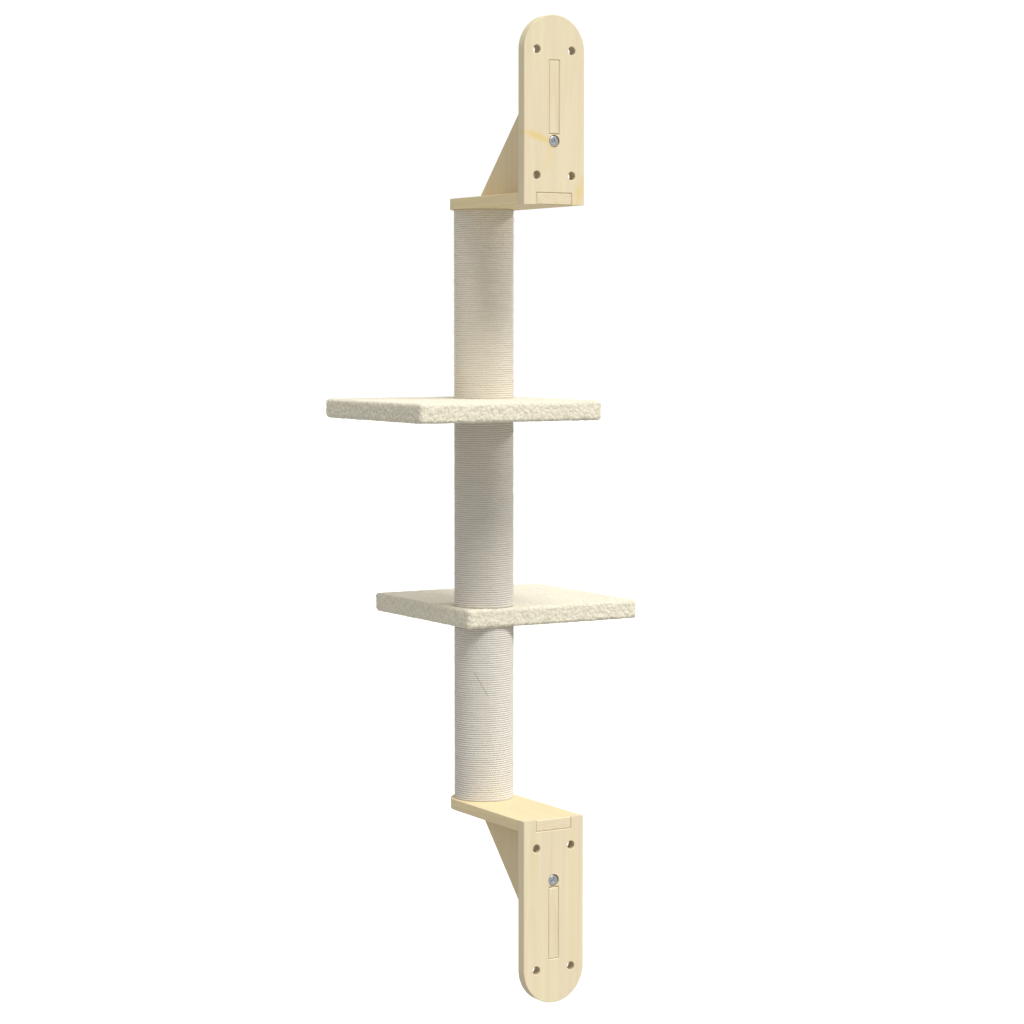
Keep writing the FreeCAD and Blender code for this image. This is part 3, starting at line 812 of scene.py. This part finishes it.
def wound_cord(post, cord, material):
    """The whole winding of one post as one unbroken cord."""
    low, _ = post_span(post)
    turns, pitch = fitted_turns(post, cord)
    bm = bmesh.new()
    foot = one_turn(bm, low, cord, pitch)
    repeat_turn(bm, turns, pitch)
    map_cord(bm, foot, pitch, turns, WINDING_RADIUS - cord.across / 2)
    ends = [edge for edge in bm.edges if edge.is_boundary]
    bmesh.ops.holes_fill(bm, edges=ends, sides=0)
    bmesh.ops.recalc_face_normals(bm, faces=bm.faces)
    name = post + "_wound_cord"
    replaced = (post + "_winding", post + "_cord_turns")
    as_piece(name, finished_mesh(name, bm), material, replaced)


# ------------------------ loose fibres
# Ranges and spreads of the random draws are in millimetres.
FIBRE_SHARES = (0.0, 0.35, 0.7, 1.0)
FIBRE_ACROSS = 0.16 * MM
FIBRE_TAPER = 0.75           # share of its thickness that a fibre loses to its tip
FIBRE_RUN = (1.5, 6)
FIBRE_LIFT = 3.0
FIBRE_LIFT_SHARE = (0.3, 1.0)
FIBRE_RISE = 1.6
FIBRE_BOW = 1.4              # how late a fibre turns outwards
FIBRE_ROOT = 0.15 * MM       # depth of its root in the winding
WISPS = 40
WISP_SHARES = (0.0, 0.15, 0.3, 0.45, 0.6, 0.8, 1.0)
WISP_ACROSS = 0.45 * MM
WISP_TAPER = 0.4
WISP_LOWEST = 0.02           # least height of a wisp's root over the post's foot
WISP_RUN = (-6, 6)
WISP_DROP = (5, 18)
WISP_LIFT = (1.5, 4.5)
WISP_BOW = 2.2               # how much of a wave it bows through, in radians
STRAND_ACROSS = 0.6 * MM
STRAND_ANGLE = 42            # where the strand starts, in degrees round the post from +X
STRAND_TOP = -0.7495         # and its height there
STRAND_TURN = 27.3           # how far it runs round the post, in degrees
STRAND_DROP = 32.5 * MM
STRAND_LIFT = 0.3 * MM       # how far its end stands off the winding
STRAND_ROOT = 0.1 * MM


def on_winding(angle, height, out=0.0):
    """A point on the winding's surface: angle in radians from +X, and height."""
    radius = WINDING_RADIUS + out
    x = POST_AXIS.x + radius * math.cos(angle)
    return Vector((x, POST_AXIS.y + radius * math.sin(angle), height))


def fibre_mesh(name, lines, taper):
    """One mesh of thin tapering tubes along lines of points, each with its thickness."""
    curve = bpy.data.curves.new(name, "CURVE")
    curve.dimensions = "3D"
    curve.bevel_depth = MM / 2
    curve.bevel_resolution = 0
    for points, across in lines:
        spline = curve.splines.new("POLY")
        last = len(points) - 1
        spline.points.add(last)
        for index, point in enumerate(points):
            spline.points[index].co = (*point, 1)
            spline.points[index].radius = across / MM * (1.0 - taper * index / last)
    return taken_mesh(in_scene(name, curve))


def short_fibre(rng, low, high):
    """Points of one short fibre that lifts off the winding."""
    angle = rng.uniform(0, 2 * math.pi)
    height = rng.uniform(low, high)
    run = rng.choice((-1, 1)) * rng.uniform(*FIBRE_RUN) * MM
    lift = rng.uniform(*FIBRE_LIFT_SHARE) * rng.uniform(*FIBRE_LIFT_SHARE) * FIBRE_LIFT * MM
    rise = rng.gauss(0, FIBRE_RISE) * MM
    points = []
    for share in FIBRE_SHARES:
        turned = angle + share * run / WINDING_RADIUS
        bow = lift * share ** FIBRE_BOW
        points.append(on_winding(turned, height + rise * share * share, bow - FIBRE_ROOT))
    return points


def long_wisp(rng, low, high):
    """Points of a longer fibre that hangs off the winding."""
    angle = rng.uniform(0, 2 * math.pi)
    height = rng.uniform(low + WISP_LOWEST, high)
    run = rng.uniform(*WISP_RUN) * MM
    drop = rng.uniform(*WISP_DROP) * MM
    lift = rng.uniform(*WISP_LIFT) * MM
    points = []
    for share in WISP_SHARES:
        turned = angle + share * run / WINDING_RADIUS
        bow = lift * math.sin(share * WISP_BOW)
        points.append(on_winding(turned, height - drop * share, bow))
    return points


def loose_fibres(post, count, material):
    """The short fibres and the wisps that stand off one post's winding."""
    rng = random.Random(post)
    low, high = post_span(post)
    fibres = [(short_fibre(rng, low, high), FIBRE_ACROSS) for _ in range(count)]
    wisps = [(long_wisp(rng, low, high), WISP_ACROSS) for _ in range(WISPS)]
    kinds = (("_fibres", fibres, FIBRE_TAPER), ("_wisps", wisps, WISP_TAPER))
    for kind, lines, taper in kinds:
        as_piece(post + kind, fibre_mesh(post + kind, lines, taper), material)


def slanting_strand(material):
    """The one strand that lies slanting over the bottom winding, whose grey is partly its own
    darker tone and partly painted shade.
    """
    points = []
    for share in WISP_SHARES:
        turned = math.radians(STRAND_ANGLE + STRAND_TURN * share)
        lift = STRAND_LIFT * share ** 1.5 - STRAND_ROOT * (1 - share)
        points.append(on_winding(turned, STRAND_TOP - STRAND_DROP * share, lift))
    mesh = fibre_mesh("bottom_post_strand", [(points, STRAND_ACROSS)], WISP_TAPER)
    as_piece("bottom_post_strand", mesh, material)


# ------------------------ platforms
PILE_VOXEL = 1.25 * MM       # spacing of the pile's surface points
PILE_LEVEL = 0.35            # tuft height that lies on the platform's nominal surface
TOP_PILE = 0.6               # depth of the pile on the top, against the sides
TOP_FACING = 0.7             # least Z of a normal that counts as the top
PILE_SWELL = 0.3 * MM        # slow rise and fall of the whole pile
PILE_SWELL_RUN = 14 * MM     # and the width over which it changes
COVER_SEGMENTS = 6           # of the rounding of the cover's edges
FULL_SIDES = {               # how far the pile stands proud at the -X and the +X side
    "upper_platform": (4.0 * MM, 0.0),
    "lower_platform": (1.6 * MM, 0.6 * MM),
}
FULL_ENDS = 1.0 * MM         # and at the two other sides
PRESSED = 0.8 * MM           # width over which the pile rises again beside a post
PRESSED_DEEP = 0.3 * MM      # how far a post presses the pile down
PRESSED_TUFT = 0.55          # tuft height that colours pressed pile
PANEL_RECESS = 3.0 * MM      # depth of the hem's inner edge over the base panel
PANEL_SEAM = 0.8 * MM        # gap between the hem and the base panel
PANEL_PLAY = 0.2 * MM        # between the base panel and the recess over it
PANEL_ROUNDING = 1.2 * MM
PANEL_SEGMENTS = 2
PANEL_FACING = 0.2           # Z of a normal under which the base panel has a pile

# Tufts: sizes are in widths of a tuft.
WARP_SCALE, WARP = 1.3, 0.55     # how the tufts' places are pulled about
GAP_WALL = 3.2               # steepness of a tuft's sides
DOME = 0.4                   # how much lower a tuft is at its rim
MEAN_TUFT, TUFT_SPREAD, TUFT_SEED = 0.80, 0.35, 5.3   # how the tufts differ
CURL, CURL_RUN = 0.20, 2.3   # height and scale of the curls on a tuft


def block_mesh(low, high, rounding, segments):
    """An upright block with all its edges rounded."""
    bm = bmesh.new()
    bmesh.ops.create_cube(bm, size=1.0, matrix=box_matrix(low, high))
    bmesh.ops.bevel(
        bm,
        geom=bm.verts[:] + bm.edges[:],
        offset=rounding,
        offset_type="OFFSET",
        affect="EDGES",
        segments=segments,
        profile=0.5,
        material=-1,
    )
    return finished_mesh("block", bm)


def pile_block(low, high, rounding, segments):
    """A rounded block with evenly spaced surface points, ready for its pile."""
    block = block_mesh(low, high, rounding, segments)
    holder = in_scene("holder", block)
    remesh = holder.modifiers.new("REMESH", "REMESH")
    remesh.mode = "VOXEL"
    remesh.voxel_size = PILE_VOXEL
    remesh.use_smooth_shade = True
    mesh = taken_mesh(holder)
    bpy.data.meshes.remove(block)
    bm = bmesh.new()
    bm.from_mesh(mesh)
    bpy.data.meshes.remove(mesh)
    return bm


def tuft_height(co, size):
    """Height of the pile from 0 in a gap to 1 on a tuft, at a point of its surface."""
    spot = co / size
    spot = spot + noise.noise_vector(spot * WARP_SCALE) * WARP
    apart, middles = noise.voronoi(spot)
    gap = min(1.0, (apart[1] - apart[0]) * GAP_WALL)
    dome = 1.0 - DOME * min(1.0, apart[0]) ** 2
    own = MEAN_TUFT + TUFT_SPREAD * noise.noise(middles[0] * TUFT_SEED)
    curl = CURL * noise.noise(spot * CURL_RUN)
    return max(0.0, min(1.0, math.sqrt(gap) * dome * own + curl))


def raise_pile(bm, plush, free_at):
    """Move the surface out by its tufts, whose height it stores; free_at is 0 where pressed."""
    bm.normal_update()
    layer = bm.verts.layers.float.new("tuft")
    moves = []
    for vert in bm.verts:
        height = tuft_height(vert.co, plush.tuft)
        swell = PILE_SWELL * noise.noise(vert.co / PILE_SWELL_RUN)
        free = free_at(vert)
        deep = plush.depth * (TOP_PILE if vert.normal.z > TOP_FACING else 1.0)
        vert[layer] = height * free + PRESSED_TUFT * (1 - free)
        move = free * (deep * (height - PILE_LEVEL) + swell) - (1 - free) * PRESSED_DEEP
        moves.append((vert, vert.normal * move))
    for vert, move in moves:
        vert.co += move


def beside_post(vert):
    """0 under a post, 1 away from it."""
    apart = math.hypot(vert.co.x - POST_AXIS.x, vert.co.y - POST_AXIS.y)
    return min(1.0, max(0.0, (apart - WINDING_RADIUS) / PRESSED))


def under_panel(vert):
    """As beside_post on the base panel's underside and edges, 0 on its hidden top."""
    return beside_post(vert) if vert.normal.z < PANEL_FACING else 0.0


def recess_panel(bm, ceiling, low, high):
    """Press the cover's underside in to the ceiling, over a base panel with these corners."""
    for vert in bm.verts:
        in_x = low.x - PANEL_SEAM < vert.co.x < high.x + PANEL_SEAM
        in_y = low.y - PANEL_SEAM < vert.co.y < high.y + PANEL_SEAM
        if in_x and in_y and vert.co.z < ceiling:
            vert.co.z = ceiling


def as_pile(name, bm, material, replaced):
    """The finished pile as a piece that stands for a CAD node."""
    piece = as_piece(name, finished_mesh(name, bm), material, (replaced,))


def plush_cover(platform, plush, material):
    """Plush over the top and sides of one platform, with its hem round the base panel."""
    low, high = node_box(platform + "_plush_cover")
    less, more = FULL_SIDES[platform]
    outer = low - Vector((less, FULL_ENDS, 0)), high + Vector((more, FULL_ENDS, 0))
    bm = pile_block(*outer, plush.rounding, COVER_SEGMENTS)
    raise_pile(bm, plush, beside_post)
    recess_panel(bm, low.z + PANEL_RECESS, *node_box(platform + "_base_panel"))
    hollow = box_matrix(*node_box(platform + "_board"))
    inner = bmesh.ops.create_cube(bm, size=1.0, matrix=hollow)["verts"]
    faces = {face for vert in inner for face in vert.link_faces}
    bmesh.ops.reverse_faces(bm, faces=list(faces))
    as_pile(platform + "_pile_cover", bm, material, platform + "_plush_cover")


def base_panel(platform, plush, material):
    """The plush panel under one platform."""
    low, high = node_box(platform + "_base_panel")
    high.z = low.z + PANEL_RECESS - PANEL_PLAY
    bm = pile_block(low, high, PANEL_ROUNDING, PANEL_SEGMENTS)
    raise_pile(bm, plush, under_panel)
    as_pile(platform + "_pile_panel", bm, material, platform + "_base_panel")


# ------------------------ floor, lights and camera
FLOOR_HALF = 40              # half the floor's side, in metres
FLOOR_GLOW = 0.1             # the floor's own light
FLOOR_TONES = ((0.95, 0.95, 0.95, 1), (0.97, 0.97, 0.97, 1))
FLOOR_SCALE = 1.5
BACKDROP = 1.05              # brightness of what the camera sees behind the tree
KEY_WAY = Vector((-0.01, 0.56, 0.83))
KEY_SPREAD = 26
SIDE_WAY = Vector((-0.85, 0.31, 0.43))
SIDE_SPREAD = 6
CAMERA_PLACE = Vector((1.7611, 2.8856, -0.2752))
CAMERA_LOOK = Vector((-0.50618, -0.86069, -0.05466))
CAMERA_LENS = 90.75
CAMERA_SHIFT = -0.045
CAMERA_REACH = 200


def add_floor(height, bounce):
    """A wide pale floor, which sends no more light up to the tree than comes from all round."""
    bm = bmesh.new()
    place = Matrix.Translation((0, 0, height))
    bmesh.ops.create_grid(bm, x_segments=1, y_segments=1, size=FLOOR_HALF, matrix=place)
    mesh = bpy.data.meshes.new("floor")
    bm.to_mesh(mesh)
    bm.free()
    material, w, shader = new_material(
        "pale_floor", Roughness=0.9, Emission_Strength=FLOOR_GLOW, Emission_Color=(1, 1, 1, 1),
    )
    seen = w.add("LightPath").outputs["Is Camera Ray"]
    pale = w.mix(w.noise(object_place(w), FLOOR_SCALE), *FLOOR_TONES)
    w.feed(shader.inputs["Base Color"], w.mix(seen, (bounce, bounce, bounce, 1), pale))
    mesh.materials.append(material)
    floor = in_scene("floor", mesh)


def add_sun(name, way, spread, strength):
    """A distant soft lamp that shines on the tree from a direction."""
    lamp = bpy.data.lights.new(name, "SUN")
    lamp.angle = math.radians(spread)
    lamp.energy = strength * math.pi
    holder = in_scene(name, lamp)
    holder.location = way
    holder.rotation_euler = (-way).to_track_quat("-Z", "Y").to_euler()


def add_world(ambient, overhead):
    """Light from all round, stronger from above; the camera itself sees a white backdrop."""
    world = bpy.data.worlds.new("studio")
    world.use_nodes = True
    bpy.context.scene.world = world
    w = Wiring(world.node_tree)
    backdrop = world.node_tree.nodes["Background"]
    seen = w.add("LightPath").outputs["Is Camera Ray"]
    up = w.add("SeparateXYZ", {0: w.add("TexCoord").outputs["Generated"]}).outputs[2]
    lit = w.math("MULTIPLY_ADD", up, overhead, ambient)
    w.feed(backdrop.inputs["Color"], (1.0, 1.0, 1.0, 1.0))
    white = w.math("MULTIPLY", seen, BACKDROP)
    w.feed(backdrop.inputs["Strength"], w.math("MAXIMUM", lit, white))


def add_camera():
    """The camera at the photographed angle."""
    camera = bpy.data.cameras.new("camera")
    camera.lens = CAMERA_LENS
    camera.shift_y = CAMERA_SHIFT
    camera.clip_end = CAMERA_REACH
    holder = in_scene("camera", camera)
    holder.location = CAMERA_PLACE
    holder.rotation_euler = CAMERA_LOOK.to_track_quat("-Z", "Y").to_euler()
    bpy.context.scene.camera = holder


# ------------------------ operators
class TREE_OT_boards(bpy.types.Operator):
    """Finish the plates, arms and gussets of both brackets in pine"""

    bl_idname = "cat_tree.boards"
    bl_label = "Pine Boards"

    def execute(self, context):
        for bracket, side in zip(BRACKETS, (1, -1)):
            finish_boards(bracket, side, context.scene.cat_tree_pine)
        return {"FINISHED"}


class TREE_OT_hardware(bpy.types.Operator):
    """Finish the screws, bolts, studs, inserts and dowels"""

    bl_idname = "cat_tree.hardware"
    bl_label = "Hardware"

    def execute(self, context):
        zinc = plain_material("bright_zinc")
        steel = plain_material("plain_steel")
        beech = plain_material("beech_dowel")
        for bracket in BRACKETS:
            finish_node(bracket + "_gusset_screw", zinc)
            finish_node(bracket + "_arm_bolt", zinc)
            finish_node(bracket + "_gusset_dowels", beech)
        for platform in PLATFORMS:
            finish_node(platform + "_stud", steel)
        for post in POSTS:
            finish_node(post + "_inserts", steel)
        return {"FINISHED"}


class TREE_OT_cores(bpy.types.Operator):
    """Finish the cardboard tubes, their end plugs and the boards inside the platforms"""

    bl_idname = "cat_tree.cores"
    bl_label = "Cores"

    def execute(self, context):
        cardboard = plain_material("core_cardboard")
        chipboard = plain_material("pressed_board")
        for post in POSTS:
            finish_node(post + "_core_tube", cardboard)
            finish_node(post + "_upper_plug", chipboard)
            finish_node(post + "_lower_plug", chipboard)
        for platform in PLATFORMS:
            finish_node(platform + "_board", chipboard)
        return {"FINISHED"}


class TREE_OT_windings(bpy.types.Operator):
    """Wind the cord round the three posts and let its loose fibres stand"""

    bl_idname = "cat_tree.windings"
    bl_label = "Windings"

    def execute(self, context):
        cord = context.scene.cat_tree_cord
        fluff = plain_material("cord_fluff", cord.colour)
        strand = plain_material("strand_tone_and_shade")
        for post in POSTS:
            material = cord_material(post + "_cord", cord, CORD_TINTS[post])
            wound_cord(post, cord, material)
            loose_fibres(post, cord.fibres, fluff)
        slanting_strand(strand)
        return {"FINISHED"}


class TREE_OT_platforms(bpy.types.Operator):
    """Cover both platforms in plush"""

    bl_idname = "cat_tree.platforms"
    bl_label = "Platforms"

    def execute(self, context):
        plush = context.scene.cat_tree_plush
        material = plush_material(plush)
        for platform in PLATFORMS:
            plush_cover(platform, plush, material)
            base_panel(platform, plush, material)
        return {"FINISHED"}


class TREE_OT_stage(bpy.types.Operator):
    """Set the floor, the lights and the camera"""

    bl_idname = "cat_tree.stage"
    bl_label = "Stage"

    def execute(self, context):
        stage = context.scene.cat_tree_stage
        add_floor(CAD_BOX[0][2] - stage.floor_drop, stage.bounce)
        add_sun("key_light", KEY_WAY, KEY_SPREAD, stage.key)
        add_sun("side_light", SIDE_WAY, SIDE_SPREAD, stage.side)
        add_world(stage.ambient, stage.overhead)
        add_camera()
        context.scene.view_settings.view_transform = "Standard"
        return {"FINISHED"}


class TREE_PT_sidebar(bpy.types.Panel):
    """Steps of the cat tree in the order in which they run"""

    bl_idname = "TREE_PT_sidebar"
    bl_label = "Cat Tree"
    bl_space_type = "VIEW_3D"
    bl_region_type = "UI"
    bl_category = "Cat Tree"

    def draw(self, context):
        for operator in OPERATORS:
            self.layout.operator(operator.bl_idname)
        for name in SETTINGS:
            box = self.layout.box()
            settings = getattr(context.scene, name)
            for key in settings.__annotations__:
                box.prop(settings, key)


OPERATORS = (
    TREE_OT_boards,
    TREE_OT_hardware,
    TREE_OT_cores,
    TREE_OT_windings,
    TREE_OT_platforms,
    TREE_OT_stage,
)
SETTINGS = {
    "cat_tree_pine": PineSettings,
    "cat_tree_cord": CordSettings,
    "cat_tree_plush": PlushSettings,
    "cat_tree_stage": StageSettings,
}


def register():
    for made in (*SETTINGS.values(), *OPERATORS, TREE_PT_sidebar):
        bpy.utils.register_class(made)
    for name, made in SETTINGS.items():
        setattr(bpy.types.Scene, name, bpy.props.PointerProperty(type=made))


def unregister():
    for name in SETTINGS:
        delattr(bpy.types.Scene, name)
    for made in reversed((*SETTINGS.values(), *OPERATORS, TREE_PT_sidebar)):
        bpy.utils.unregister_class(made)


def main():
    register()
    bpy.ops.cat_tree.boards()
    bpy.ops.cat_tree.hardware()
    bpy.ops.cat_tree.cores()
    bpy.ops.cat_tree.windings()
    bpy.ops.cat_tree.platforms()
    bpy.ops.cat_tree.stage()


if __name__ == "__main__":
    main()
